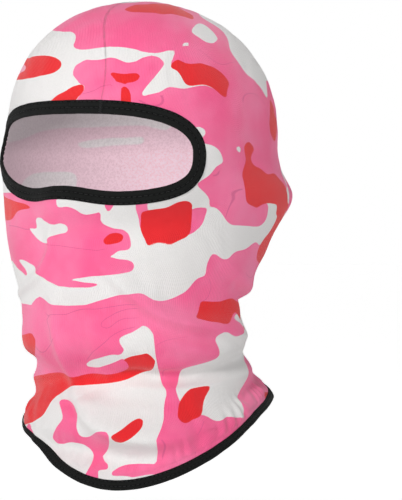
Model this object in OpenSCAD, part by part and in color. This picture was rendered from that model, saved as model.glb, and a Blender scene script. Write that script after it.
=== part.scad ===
// Full-face hood (balaclava) with one bound eye opening and a bound, bib-shaped hem.
// It is drawn as it hangs on a head. The origin is on the inside of the crown, where
// the head bears. +Z is up, the face looks along -Y and the wearer's left is +X.

/* [Fabric] */
// Thickness of the printed stretch knit
fabric_t = 0.8; // [0.6:0.1:1.2]
// Thickness of the folded binding tape
tape_t = 0.7; // [0.5:0.1:1]

/* [Crown] */
// Height of the crown above the widest level of the head
crown_h = 89; // [84:1:96]
// Fullness of the crown, where 2 is an ellipsoid
crown_full = 2.14; // [1.9:0.02:2.4]
// Half width of the hood at the temples
temple_w = 86.5; // [82:0.5:94]
// Distance from the centre to the brow
brow_f = 89; // [84:1:96]
// Distance from the centre to the back of the head
occiput_b = 98; // [92:1:104]
// Squareness of the head section, where 2 is an ellipse
squareness = 2.35; // [2:0.05:2.6]

/* [Neck] */
// Half width of the neck
neck_w = 74; // [68:1:80]
// Distance from the centre to the nape at its narrowest
nape_b = 48; // [42:1:56]
// Distance from the centre to the throat at its narrowest
throat_f = 61; // [55:1:68]
// Half width at the hem
hem_w = 84; // [78:1:90]

/* [Hem] */
// Depth of the bib's lowest point below the crown
bib_z = 322; // [310:1:335]
// How much higher the hem is at the back than at the bib
hem_rise = 58; // [45:1:65]
// Direction of the bib's lowest point, turned towards the wearer's left
bib_turn = 20; // [0:1:25]
// Width of the hem binding
hem_binding_w = 8.2; // [6:0.2:11]

/* [Eye opening] */
// Half angle that the opening spans round the face
eye_angle = 51.5; // [44:0.5:60]
// How far the opening is turned towards the wearer's left
eye_turn = 2; // [0:0.5:4]
// Half height of the opening
eye_h = 25; // [20:0.5:28]
// Squareness of the opening's outline
eye_fullness = 2.9; // [2:0.1:3.2]
// Drop of the opening over 50 degrees towards the wearer's left
eye_slope = 2.5; // [0:0.5:4]
// Height by which the lower edge is drawn up on the wearer's right cheek
cheek_lift = 9; // [0:0.5:10]
// Depth of the opening's middle below the crown
eye_z = 107; // [100:1:112]
// Height of the nose notch in the lower edge
nose_notch = 4; // [0:0.5:8]
// Width of the eye binding
eye_binding_w = 8.8; // [7:0.2:11]

/* [Sewing] */
// Length of one cover stitch
stitch_l = 2.6; // [2:0.1:4]
// Number of cover stitches in a row round the eye opening
eye_stitches = 116; // [90:1:120]
// Number of cover stitches in a row round the hem
hem_stitches = 112; // [90:1:120]
// Distance between the two rows of needle stitches
needle_gap = 4; // [3:0.2:5.6]
// Width of the seam allowance inside the crown seam
allowance_w = 5; // [3:0.5:7]
// How far the seam sways sideways where it crosses the crown
seam_sway = 21; // [0:1:25]

/* [Hidden] */
gap = 0.05;          // clearance between a fabric face and the tape folded over it
zc = fabric_t - crown_h;  // widest level of the head
RINGS = 68;          // stations round either edge, shared by the panels and their tapes
TOP = 4;             // station of the crown seam at the eye opening
ROWS = 38;           // rows of a panel from the eye opening to the hem

// Sections from the widest level down: [z, front, half width, back, front squareness, back squareness]
K = [
    [zc, brow_f, temple_w, occiput_b, squareness, squareness],
    [-112, brow_f + 2, temple_w + 1, occiput_b, squareness, squareness],
    [-132, brow_f + 2, temple_w + 2.5, occiput_b + 6, squareness, squareness],
    [-167, brow_f + 1, temple_w - 1.5, occiput_b - 14, 2.3, 2.15],
    [-206, brow_f - 3, neck_w + 1, nape_b, 2.2, 1.95],
    [-232, brow_f - 6, neck_w + 1, nape_b + 6, 2.2, 1.95],
    [-254, throat_f + 3, neck_w, nape_b + 25, 2.2, 2.4],
    [-272, throat_f + 9, neck_w + 8, nape_b + 47, 2.2, 2.5],
    [-340, throat_f + 17, hem_w, nape_b + 52, 2.2, 2.5]
];

function seg(z, i = 0) = (i >= len(K) - 2 || z >= K[i + 1][0]) ? i : seg(z, i + 1);
function slope(k, i) = i == 0 ? 0
    : i == len(K) - 1 ? (K[i][k] - K[i - 1][k]) / (K[i][0] - K[i - 1][0])
    : (K[i + 1][k] - K[i - 1][k]) / (K[i + 1][0] - K[i - 1][0]);
function section(z, k) = z >= K[0][0] ? K[0][k] :
    let (i = seg(z), h = K[i + 1][0] - K[i][0], t = (z - K[i][0]) / h, u = t * t, w = u * t)
    (2 * w - 3 * u + 1) * K[i][k] + (w - 2 * u + t) * h * slope(k, i)
    + (3 * u - 2 * w) * K[i + 1][k] + (w - u) * h * slope(k, i + 1);
function turn(a) = a > 180 ? a - 360 : a < -180 ? a + 360 : a;
function bell(x, s) = exp(-(x / s) * (x / s));

// Soft forms on the head section: brow hollow, temples, nose, chin and the fullness over the nape
function forms(a, z) =
    -1.5 * bell(a, 50) * bell(z + 60, 20)
    + 4.5 * (bell(a - 61, 20) + bell(a + 61, 20)) * bell(z + 106, 16)
    + 9 * bell(a, 11) * bell(z + 140, 17)
    + 4 * bell(a, 20) * bell(z + 186, 16)
    + 7 * (bell(a - 135, 34) + bell(a + 135, 34)) * bell(z + 133, 17);
function radius(a, z) =
    let (n = section(z, cos(a) >= 0 ? 4 : 5), w = section(z, 2), f = section(z, cos(a) >= 0 ? 1 : 3))
    pow(pow(abs(sin(a)) / w, n) + pow(abs(cos(a)) / f, n), -1 / n) + forms(turn(a), z);
function hem_z(a) = let (d = turn(a - bib_turn)) -bib_z + hem_rise * (1 - bell(d, 74));

// Outer face at angle a from the front and height z
function face_at(a, z) =
    let (q = max(0, min(1, (z - zc) / crown_h)), r = radius(a, z) * (z <= zc ? 1 : pow(1 - pow(q, crown_full), 1 / crown_full)))
    [r * sin(a), -r * cos(a), z];
function unit(v) = v / norm(v);
function normal_at(a, z) = z > fabric_t - 0.9 ? [0, 0, 1] :
    unit(cross(face_at(a + 0.4, z) - face_at(a - 0.4, z), face_at(a, z + 0.4) - face_at(a, z - 0.4)));
function off(a, z, h) = face_at(a, z) + h * normal_at(a, z);

// The hood laid out as a disc with the crown at its middle: [to the left, to the back]
function down(z) = z <= zc ? 100 + zc - z : 100 * acos(pow((z - zc) / crown_h, crown_full / 2)) / 90;
function on_disc(e) = [down(e[1]) * sin(e[0]), -down(e[1]) * cos(e[0])];
function off_disc(p) =
    let (s = norm(p), z = s >= 100 ? zc - (s - 100) : zc + crown_h * pow(cos(0.9 * s), 2 / crown_full))
    [s < 0.01 ? 0 : atan2(p[0], -p[1]), min(z, fabric_t)];

// The eye opening's edge as [angle, depth], with t from 0 at the top once round
function sgn_pow(x, p) = sign(x) * pow(abs(x), p);
function eye_edge(t) =
    let (p = 2 / eye_fullness, a = eye_turn + eye_angle * sgn_pow(sin(t), p), h = eye_h * sgn_pow(cos(t), p))
    [a, -eye_z + h - eye_slope * a / 50
        + (h < 0 ? (1 - bell(h, 10)) * (nose_notch * bell(a - 3, 14) + cheek_lift * bell(a + 48, 24)) : 0)];
function hem_edge(t) = [t, hem_z(t)];
function edge(kind, t) = kind == 0 ? eye_edge(t) : hem_edge(t);

// An edge point moved by d away from the edge, into the fabric
function in_mm(kind, t) = let (e = edge(kind, t), r = radius(e[0], e[1])) r * PI / 180;
function inward(kind, t) =
    let (a = edge(kind, t - 0.3), b = edge(kind, t + 0.3), m = in_mm(kind, t),
         v = [(b[0] - a[0]) * m, b[1] - a[1]], l = norm(v))
    [-v[1] / l, v[0] / l];
function moved(kind, t, d) =
    let (e = edge(kind, t), n = inward(kind, t), m = in_mm(kind, t))
    [e[0] + d * n[0] / m, e[1] + d * n[1]];
function on_edge(kind, t, d, h) = let (p = moved(kind, t, d)) off(p[0], p[1], h);

// Edge parameter against the share of the way round, so that stations and stitches are evenly spaced in each half
function way(kind) = [for (i = 0, s = 0; i <= 120; s = s + norm(on_edge(kind, 3 * (i + 1), 3, 0) - on_edge(kind, 3 * i, 3, 0)), i = i + 1) [s, 3 * i]];
function shares(w) = [for (p = w) [p[1] <= 180 ? 0.5 * p[0] / w[60][0] : 0.5 + 0.5 * (p[0] - w[60][0]) / (w[120][0] - w[60][0]), p[1]]];
LEN = [way(0)[120][0], way(1)[120][0]];
WAY = [shares(way(0)), shares(way(1))];
function t_at(kind, share) = lookup(share - floor(share), WAY[kind]);

// One half of the printed shell. Its rows run from the eye opening over the crown to the hem, as a pram hood's hoops do.
function seam_shift(p, u) = [p[0] - seam_sway * bell(p[1] + 25, 60) * bell(p[0], 80) * (1 - bell(u, 0.08)), p[1]];
function panel_place(side, i, j) =
    let (te = t_at(0, (TOP + side * j) / RINGS), th = t_at(1, (RINGS / 2 - side * j) / RINGS), u = (i - 2) / (ROWS - 4))
    i < 2 ? moved(0, te, i == 0 ? tape_t + 0.1 : eye_binding_w / 2)
    : i > ROWS - 2 ? moved(1, th, i == ROWS ? tape_t + 0.1 : hem_binding_w / 2)
    : let (e = on_disc(moved(0, te, eye_binding_w)), h = on_disc(moved(1, th, hem_binding_w)))
      off_disc(seam_shift((1 - u) * e + u * h, u));
function side_faces(n, m, flip) =
    let (c = m + 1, b = (n + 1) * (m + 1),
         f = concat(
            [for (i = [0:n - 1]) for (j = [0:m - 1]) let (a = i * c + j) each [[a, a + c, a + c + 1], [a, a + c + 1, a + 1],
                [b + a, b + a + c + 1, b + a + c], [b + a, b + a + 1, b + a + c + 1]]],
            [for (j = [0:m - 1]) let (a = n * c + j) each [[j, j + 1, b + j + 1], [j, b + j + 1, b + j],
                [a + 1, a, b + a], [a + 1, b + a, b + a + 1]]],
            [for (i = [0:n - 1]) let (a = i * c, d = i * c + m) each [[a + c, a, b + a], [a + c, b + a, b + a + c],
                [d, d + c, b + d + c], [d, b + d + c, b + d]]]
         ))
    flip ? [for (q = f) [q[0], q[2], q[1]]] : f;
module side_panel(side) {
    m = RINGS / 2 - side * TOP;
    places = [for (i = [0:ROWS]) for (j = [0:m]) panel_place(side, i, j)];
    polyhedron(
        points = concat([for (p = places) off(p[0], p[1], 0)], [for (p = places) off(p[0], p[1], -fabric_t)]),
        faces = side_faces(ROWS, m, side < 0),
        convexity = 8
    );
}

// Tape folded over an edge: the section is [distance from the edge, height over the outer face]
module folded_tape(kind, w, rings) {
    lo = -fabric_t - gap;
    section = [
        [w, gap + tape_t], [w / 2, gap + tape_t], [0.5, gap + tape_t], [0, gap], [0, lo], [0.5, lo - tape_t],
        [w / 2, lo - tape_t], [w, lo - tape_t], [w, lo], [w / 2, lo], [tape_t, lo], [tape_t, gap], [w / 2, gap], [w, gap]
    ];
    c = len(section);
    polyhedron(
        points = [for (k = [0:rings - 1]) let (t = t_at(kind, k / rings)) for (p = section) on_edge(kind, t, p[0], p[1])],
        faces = concat(
            [for (k = [0:rings - 1]) for (j = [0:c - 1]) [k * c + j, k * c + (j + 1) % c, ((k + 1) % rings) * c + (j + 1) % c]],
            [for (k = [0:rings - 1]) for (j = [0:c - 1]) [k * c + j, ((k + 1) % rings) * c + (j + 1) % c, ((k + 1) % rings) * c + j]]
        ),
        convexity = 8
    );
}

// Closed bricks, each given by its 8 corners, as one solid apiece
BRICK = [[0, 1, 2], [0, 2, 3], [4, 6, 5], [4, 7, 6], [0, 5, 1], [0, 4, 5], [1, 6, 2], [1, 5, 6], [2, 7, 3], [2, 6, 7], [3, 4, 0], [3, 7, 4]];
module bricks(list) {
    polyhedron(
        points = [for (b = list) each b],
        faces = [for (i = [0:len(list) - 1]) for (f = BRICK) [for (v = f) 8 * i + v]],
        convexity = 4
    );
}
// A thread lying from distance d0 to d1 while it goes from share s0 to s1 of the way round, between heights h0 and h1
function thread(kind, s0, s1, d0, d1, w, h0, h1) =
    let (a = t_at(kind, s0), b = t_at(kind, s1))
    [on_edge(kind, a, d0 - w / 2, h0), on_edge(kind, b, d1 - w / 2, h0), on_edge(kind, b, d1 + w / 2, h0), on_edge(kind, a, d0 + w / 2, h0),
     on_edge(kind, a, d0 - w / 2, h1), on_edge(kind, b, d1 - w / 2, h1), on_edge(kind, b, d1 + w / 2, h1), on_edge(kind, a, d0 + w / 2, h1)];

module needle_rows(kind, n, w) {
    h = tape_t + 2 * gap;
    share = stitch_l / LEN[kind];
    bricks([for (row = [0, 1]) let (d = w - 1.2 - needle_gap * row) for (k = [0:n - 1])
        thread(kind, k / n, k / n + share, d, d, 0.5, h, h + 0.35)]);
}
module looper(kind, n, w) {
    h = -fabric_t - tape_t - 2 * gap;
    bricks([for (k = [0:n - 1]) let (up = k % 2 == 0)
        thread(kind, k / n, (k + 0.8) / n, up ? w - 1.2 : w - 1.2 - needle_gap, up ? w - 1.2 - needle_gap : w - 1.2, 0.5, h - 0.35, h)]);
}

// The crown seam runs from the eye opening over the crown and down to the back hem
SEAM = [for (i = [2:ROWS - 2]) panel_place(1, i, 0)];
function seam_at(k) =
    let (n = len(SEAM) - 1, i = min(n - 1, floor(k)), f = k - i, a = SEAM[i], b = SEAM[i + 1],
         pa = face_at(a[0], a[1]), pb = face_at(b[0], b[1]), na = normal_at(a[0], a[1]), nb = normal_at(b[0], b[1]),
         v = unit((1 - f) * na + f * nb))
    [(1 - f) * pa + f * pb, v, unit(cross(pb - pa, v))];
function in_seam(k, x, h) = let (f = seam_at(k)) f[0] + x * f[2] - h * f[1];
function mid(k) = let (n = len(SEAM) - 1) max(0.04, min(n - 0.04, k));

module seam_allowance() {
    m = len(SEAM) - 1;
    sect = [[0.2, fabric_t + 0.25], [allowance_w, fabric_t + 0.45], [allowance_w, fabric_t + 0.45 + 1.4], [0.2, fabric_t + 0.25 + 1.4]];
    polyhedron(
        points = [for (k = [0:m]) for (p = sect) in_seam(mid(k), p[0], p[1])],
        faces = concat(
            [for (k = [0:m - 1]) for (j = [0:3]) [k * 4 + j, (k + 1) * 4 + (j + 1) % 4, k * 4 + (j + 1) % 4]],
            [for (k = [0:m - 1]) for (j = [0:3]) [k * 4 + j, (k + 1) * 4 + j, (k + 1) * 4 + (j + 1) % 4]],
            [[0, 1, 2], [0, 2, 3], [4 * m, 4 * m + 2, 4 * m + 1], [4 * m, 4 * m + 3, 4 * m + 2]]
        ),
        convexity = 6
    );
}
module seam_thread() {
    n = len(SEAM) - 1;
    m = 3 * n;
    h = fabric_t + 0.45 + 1.4 + 0.1;
    bricks([for (k = [0:m - 1]) let (a = (k + 0.3) / 3, b = (k + 0.6) / 3)
        [in_seam(a, 0.4, h), in_seam(b, 0.4, h), in_seam(b, allowance_w - 0.2, h), in_seam(a, allowance_w - 0.2, h),
         in_seam(a, 0.4, h + 0.35), in_seam(b, 0.4, h + 0.35), in_seam(b, allowance_w - 0.2, h + 0.35), in_seam(a, allowance_w - 0.2, h + 0.35)]]);
}
// A dense bar of thread over the lapped ends of a tape
module bartack(kind, share, w) {
    h = tape_t + 2 * gap + 0.4;
    len_share = 0.9 / LEN[kind];
    bricks([for (k = [0:5]) let (d = 1.2 + (w - 2.4) * k / 5)
        thread(kind, share - len_share, share + len_share, d, d, 0.6, h, h + 0.4)]);
}

module left_side_panel() { color([0.96, 0.42, 0.66]) side_panel(1); }
module right_side_panel() { color([0.96, 0.42, 0.66]) side_panel(-1); }
module centre_seam_allowance() { color([0.86, 0.80, 0.82]) seam_allowance(); }
module centre_seam_overlock_thread() { color([0.93, 0.93, 0.92]) seam_thread(); }
module eye_opening_binding() { color([0.09, 0.09, 0.09]) folded_tape(0, eye_binding_w, RINGS); }
module eye_binding_needle_threads() { color([0.05, 0.05, 0.05]) needle_rows(0, eye_stitches, eye_binding_w); }
module eye_binding_looper_thread() { color([0.05, 0.05, 0.05]) looper(0, eye_stitches, eye_binding_w); }
module eye_binding_bartack() { color([0.05, 0.05, 0.05]) bartack(0, TOP / RINGS, eye_binding_w); }
module hem_binding() { color([0.09, 0.09, 0.09]) folded_tape(1, hem_binding_w, RINGS); }
module hem_needle_threads() { color([0.05, 0.05, 0.05]) needle_rows(1, hem_stitches, hem_binding_w); }
module hem_looper_thread() { color([0.05, 0.05, 0.05]) looper(1, hem_stitches, hem_binding_w); }
module hem_binding_bartack() { color([0.05, 0.05, 0.05]) bartack(1, 0.5, hem_binding_w); }

left_side_panel();
right_side_panel();
centre_seam_allowance();
centre_seam_overlock_thread();
eye_opening_binding();
eye_binding_needle_threads();
eye_binding_looper_thread();
eye_binding_bartack();
hem_binding();
hem_needle_threads();
hem_looper_thread();
hem_binding_bartack();
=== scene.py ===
"""Looks of the camo face mask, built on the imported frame. Lengths are millimetres until a mesh is made, then metres."""
import math

import bpy
import numpy as np
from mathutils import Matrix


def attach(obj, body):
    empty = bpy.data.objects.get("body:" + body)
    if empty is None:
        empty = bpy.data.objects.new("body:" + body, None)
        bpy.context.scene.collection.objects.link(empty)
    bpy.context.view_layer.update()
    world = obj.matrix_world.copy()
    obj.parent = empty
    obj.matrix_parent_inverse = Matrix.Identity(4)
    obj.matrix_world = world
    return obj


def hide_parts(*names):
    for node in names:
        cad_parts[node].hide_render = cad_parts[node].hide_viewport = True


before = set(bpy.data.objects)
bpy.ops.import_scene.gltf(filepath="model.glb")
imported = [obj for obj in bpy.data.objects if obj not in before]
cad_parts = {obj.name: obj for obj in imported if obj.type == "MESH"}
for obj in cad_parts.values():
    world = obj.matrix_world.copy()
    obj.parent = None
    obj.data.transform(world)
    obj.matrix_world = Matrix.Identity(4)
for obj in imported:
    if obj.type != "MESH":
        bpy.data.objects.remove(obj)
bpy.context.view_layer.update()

# ---------------------------------------------------------------- the head's form, as in the CAD
FABRIC, TAPE, GAP = 0.8, 0.62, 0.05
CROWN_H, CROWN_FULL = 89.0, 2.14
ZC = FABRIC - CROWN_H
SQ = 2.35
K = np.array([
    [ZC, 89, 86.5, 98, SQ, SQ],
    [-112, 91, 87.5, 98, SQ, SQ],
    [-132, 91, 89, 104, SQ, SQ],
    [-167, 90, 85, 84, 2.3, 2.15],
    [-206, 86, 75, 48, 2.2, 1.95],
    [-232, 83, 75, 54, 2.2, 1.95],
    [-254, 64, 74, 73, 2.2, 2.4],
    [-272, 70, 82, 95, 2.2, 2.5],
    [-340, 78, 84, 100, 2.2, 2.5],
], float)
EYE_A, EYE_TURN, EYE_H, EYE_FULL, EYE_Z, EYE_SLOPE = 51.5, 2.0, 25.0, 2.9, 107.0, 2.5
NOSE, CHEEK, EYE_W = 4.0, 9.0, 8.8
BIB_Z, RISE, BIB_A, HEM_W = 322.0, 58.0, 20.0, 8.2
RINGS, TOP = 68, 4
ROWS_AT = (1.2, 4.9)             # the tapes' two rows of stitches, from the tape's outer rim


def bell(x, s):
    return np.exp(-((x / s) ** 2))


def turn(a):
    return (a + 180.0) % 360.0 - 180.0


def section(z, k):
    n = len(K)
    m = np.zeros(n)
    m[-1] = (K[-1, k] - K[-2, k]) / (K[-1, 0] - K[-2, 0])
    m[1:-1] = (K[2:, k] - K[:-2, k]) / (K[2:, 0] - K[:-2, 0])
    i = np.clip(np.searchsorted(-K[:, 0], -z, side="left") - 1, 0, n - 2)
    h = K[i + 1, 0] - K[i, 0]
    t = (z - K[i, 0]) / h
    u, w = t * t, t * t * t
    v = (2 * w - 3 * u + 1) * K[i, k] + (w - 2 * u + t) * h * m[i] + (3 * u - 2 * w) * K[i + 1, k] + (w - u) * h * m[i + 1]
    return np.where(z >= K[0, 0], K[0, k], v)


def forms(a, z):
    return (-1.5 * bell(a, 50) * bell(z + 60, 20)
            + 4.5 * (bell(a - 61, 20) + bell(a + 61, 20)) * bell(z + 106, 16)
            + 9 * bell(a, 11) * bell(z + 140, 17)
            + 4 * bell(a, 20) * bell(z + 186, 16)
            + 7 * (bell(a - 135, 34) + bell(a + 135, 34)) * bell(z + 133, 17))


def radius(a, z):
    a, z = np.broadcast_arrays(np.asarray(a, float), np.asarray(z, float))
    r = np.radians(a)
    n = np.where(np.cos(r) >= 0, section(z, 4), section(z, 5))
    w, f = section(z, 2), np.where(np.cos(r) >= 0, section(z, 1), section(z, 3))
    return ((abs(np.sin(r)) / w) ** n + (abs(np.cos(r)) / f) ** n) ** (-1 / n) + forms(turn(a), z)


def hem_z(a):
    return -BIB_Z + RISE * (1 - bell(turn(a - BIB_A), 74))


def face_at(a, z):
    a, z = np.broadcast_arrays(np.asarray(a, float), np.asarray(z, float))
    q = np.clip((z - ZC) / CROWN_H, 0, 1)
    s = np.where(z <= ZC, 1.0, np.maximum(1 - q ** CROWN_FULL, 0) ** (1 / CROWN_FULL))
    r, t = radius(a, z) * s, np.radians(a)
    return np.stack([r * np.sin(t), -r * np.cos(t), z], -1)


def normal_at(a, z):
    a, z = np.broadcast_arrays(np.asarray(a, float), np.asarray(z, float))
    n = np.cross(face_at(a + 0.4, z) - face_at(a - 0.4, z), face_at(a, z + 0.4) - face_at(a, z - 0.4))
    l = np.linalg.norm(n, axis=-1, keepdims=True)
    n = n / np.maximum(l, 1e-12)
    return np.where((z > FABRIC - 0.9)[..., None], np.array([0, 0, 1.0]), n)


def down(z):
    return np.where(z <= ZC, 100 + ZC - z, 100 * np.degrees(np.arccos(np.clip((z - ZC) / CROWN_H, 0, 1) ** (CROWN_FULL / 2))) / 90)


def on_disc(a, z):
    s, t = down(z), np.radians(a)
    return s * np.sin(t), -s * np.cos(t)


def off_disc(x, y):
    s = np.hypot(x, y)
    z = np.where(s >= 100, ZC - (s - 100), ZC + CROWN_H * np.clip(np.cos(np.radians(0.9 * np.minimum(s, 100))), 0, 1) ** (2 / CROWN_FULL))
    return np.degrees(np.arctan2(x, -y)), np.minimum(z, FABRIC)


def edge(kind, t):
    t = np.asarray(t, float)
    if kind == 1:
        return t, hem_z(t) + bell(turn(t + 44), 20) - 6.5 * bell(turn(t + 64), 19)
    r = np.radians(t)
    p = lambda x: np.sign(x) * abs(x) ** (2 / EYE_FULL)
    a, h = EYE_TURN + EYE_A * p(np.sin(r)), EYE_H * p(np.cos(r))
    low = np.where(h < 0, (1 - bell(h, 10)) * (NOSE * bell(a - 3, 14) + CHEEK * bell(a + 48, 24)), 0)
    return a, -EYE_Z + h - EYE_SLOPE * a / 50 + low


def moved(kind, t, d):
    a, z = edge(kind, t)
    m = radius(a, z) * math.pi / 180
    a0, z0 = edge(kind, t - 0.3)
    a1, z1 = edge(kind, t + 0.3)
    vx, vz = (a1 - a0) * m, z1 - z0
    l = np.hypot(vx, vz)
    return a + d * (-vz / l) / m, z + d * vx / l


def make_way(kind):
    t = np.arange(0, 361, 3.0)
    p = face_at(*moved(kind, t, 3.0))
    s = np.concatenate([[0], np.cumsum(np.linalg.norm(np.diff(p, axis=0), axis=1))])
    share = np.where(t <= 180, 0.5 * s / s[60], 0.5 + 0.5 * (s - s[60]) / (s[120] - s[60]))
    return share, t, s[-1]


WAY = [make_way(0), make_way(1)]


def t_at(kind, share):
    share = np.asarray(share, float)
    return np.interp(share - np.floor(share), WAY[kind][0], WAY[kind][1])


# ---------------------------------------------------------------- folds, puckers and the seam's groove
def curve(points, per=10, closed=False):
    """A smooth line through the points."""
    p = np.array(points, float)
    if closed:
        q = np.concatenate([p[-1:], p, p[:2]])
    else:
        q = np.concatenate([2 * p[:1] - p[1:2], p, 2 * p[-1:] - p[-2:-1]])
    t = np.linspace(0, 1, per, endpoint=False)[:, None]
    out = []
    for i in range(1, len(q) - 2):
        a, b, c, d = q[i - 1:i + 3]
        out.append(0.5 * (2 * b + (c - a) * t + (2 * a - 5 * b + 4 * c - d) * t ** 2 + (3 * b - a - 3 * c + d) * t ** 3))
    out = np.concatenate(out)
    return out if closed else np.concatenate([out, p[-1:]])


def near_line(pts, line):
    """Distance from each point to a line in space, the share of the way along it, and the offset from it."""
    best = np.full(len(pts), 1e9)
    share = np.zeros(len(pts))
    away = np.zeros((len(pts), 3))
    n = len(line) - 1
    for i in range(n):
        a, d = line[i], line[i + 1] - line[i]
        t = np.clip(((pts - a) @ d) / max(d @ d, 1e-9), 0, 1)
        q = pts - (a + t[:, None] * d)
        r = np.sqrt((q * q).sum(1))
        m = r < best
        best[m], share[m], away[m] = r[m], ((i + t) / n)[m], q[m]
    return best, share, away


# Each fold: points on the hood as (degrees round from the face, height), width, height of the ridge,
# and how much steeper it is below (positive) or above (negative)
FOLDS = [
    ([(14, -172), (22, -184), (31, -198), (42, -210), (52, -215), (68, -219), (97, -226), (118, -224)], 6.5, 3.4, 0.5),
    ([(26, -207), (40, -224), (56, -232), (78, -236), (104, -234)], 6.0, 1.6, 0.3),
    ([(13, -252), (28, -249), (42, -250), (54, -250), (68, -247), (100, -241), (122, -238)], 5.0, -2.6, 0.0),
    ([(10, -258), (30, -257), (52, -259), (76, -256), (104, -252), (126, -250)], 6.0, 1.9, 0.0),
    ([(-3, -190), (-6, -213), (-5, -232), (-8, -252), (-2, -276)], 6.0, 2.0, 0.0),
    ([(6, -206), (6, -228), (5, -250), (8, -268)], 7.0, -1.2, 0.0),
    ([(-16, -266), (-8, -271), (0, -279)], 4.5, -2.6, 0.0),
    ([(-36, -293), (-22, -297), (-6, -298), (12, -301), (30, -303), (46, -300)], 8.0, -4.2, 0.0),
    ([(-4, -266), (4, -276), (14, -284), (26, -289), (44, -290), (60, -284)], 10.0, 4.9, 0.7),
    ([(0, -147), (-5, -160), (-6, -172), (-14, -186), (-34, -196), (-56, -202)], 3.5, 1.5, 0.0),
    ([(81, -188), (96, -199), (112, -206), (128, -208)], 5.0, -2.0, 0.0),
    ([(70, -176), (92, -190), (118, -196), (140, -198)], 7.0, 1.6, 0.3),
    ([(-30, -238), (-44, -243), (-60, -246), (-80, -245)], 5.0, -1.8, 0.0),
    ([(-26, -250), (-46, -256), (-70, -257), (-96, -252)], 5.0, 1.5, 0.0),
    ([(-50, -212), (-70, -222), (-92, -230), (-116, -232)], 6.5, 2.2, 0.4),
    ([(-66, -186), (-86, -200), (-108, -210), (-132, -212)], 6.5, 2.4, 0.4),
    ([(-76, -176), (-98, -186), (-124, -192), (-146, -194)], 6.0, -1.6, 0.0),
    ([(-96, -238), (-120, -242), (-146, -240), (-170, -236)], 5.0, -2.2, 0.0),
    ([(-104, -226), (-130, -224), (-156, -222), (-180, -220)], 6.5, 2.4, 0.3),
    ([(120, -226), (140, -222), (160, -220), (182, -221)], 6.5, 2.3, 0.3),
    ([(122, -240), (146, -236), (168, -235), (190, -237)], 4.5, -2.0, 0.0),
    ([(128, -205), (150, -200), (172, -199), (196, -200), (222, -202)], 5.5, -1.8, 0.0),
    ([(132, -184), (154, -178), (180, -176), (206, -178), (228, -184)], 7.0, 1.8, 0.4),
    ([(-34, -270), (-50, -267), (-66, -266), (-84, -263), (-108, -256)], 10.0, -3.3, 0.0),
    ([(60, -271), (84, -266), (108, -259), (132, -254)], 5.5, -1.3, 0.0),
    ([(150, -258), (176, -255), (204, -254), (230, -256)], 5.5, 1.3, 0.0),
]
FOLD_LINES = []
for pts, w, h, lean in FOLDS:
    q = curve(pts, 8)
    FOLD_LINES.append((face_at(q[:, 0], q[:, 1]), w, h, lean))

_lattice = np.random.default_rng(7).random((32, 32, 32))


def noise(p):
    """Smooth noise in space from 0 to 1. The lattice step is 1."""
    i = np.floor(p).astype(int)
    f = p - i
    f = f * f * (3 - 2 * f)
    out = 0
    for dx in (0, 1):
        for dy in (0, 1):
            for dz in (0, 1):
                w = abs(1 - dx - f[..., 0]) * abs(1 - dy - f[..., 1]) * abs(1 - dz - f[..., 2])
                out = out + w * _lattice[(i[..., 0] + dx) % 32, (i[..., 1] + dy) % 32, (i[..., 2] + dz) % 32]
    return out


def seam_places(n=120):
    u = np.linspace(0, 1, n)
    te, th = t_at(0, TOP / RINGS), t_at(1, 0.5)
    return place_uv(te, th, u)


def place_uv(te, th, u):
    """A point of the hood on the line that runs from the eye opening's tape (u 0) to the hem's (u 1)."""
    ex, ey = on_disc(*moved(0, te, EYE_W))
    hx, hy = on_disc(*moved(1, th, HEM_W))
    x, y = (1 - u) * ex + u * hx, (1 - u) * ey + u * hy
    x = x - 21 * bell(y + 25, 60) * bell(x, 80) * (1 - bell(u, 0.08))
    return off_disc(x, y)


SEAM_A, SEAM_Z = seam_places()
SEAM_P = face_at(SEAM_A, SEAM_Z)
EYE_LINE = face_at(*moved(0, np.linspace(0, 360, 241), EYE_W))
HEM_LINE = face_at(*moved(1, np.linspace(0, 360, 361), HEM_W))
EYE_MID = face_at(EYE_TURN, -EYE_Z)


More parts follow.
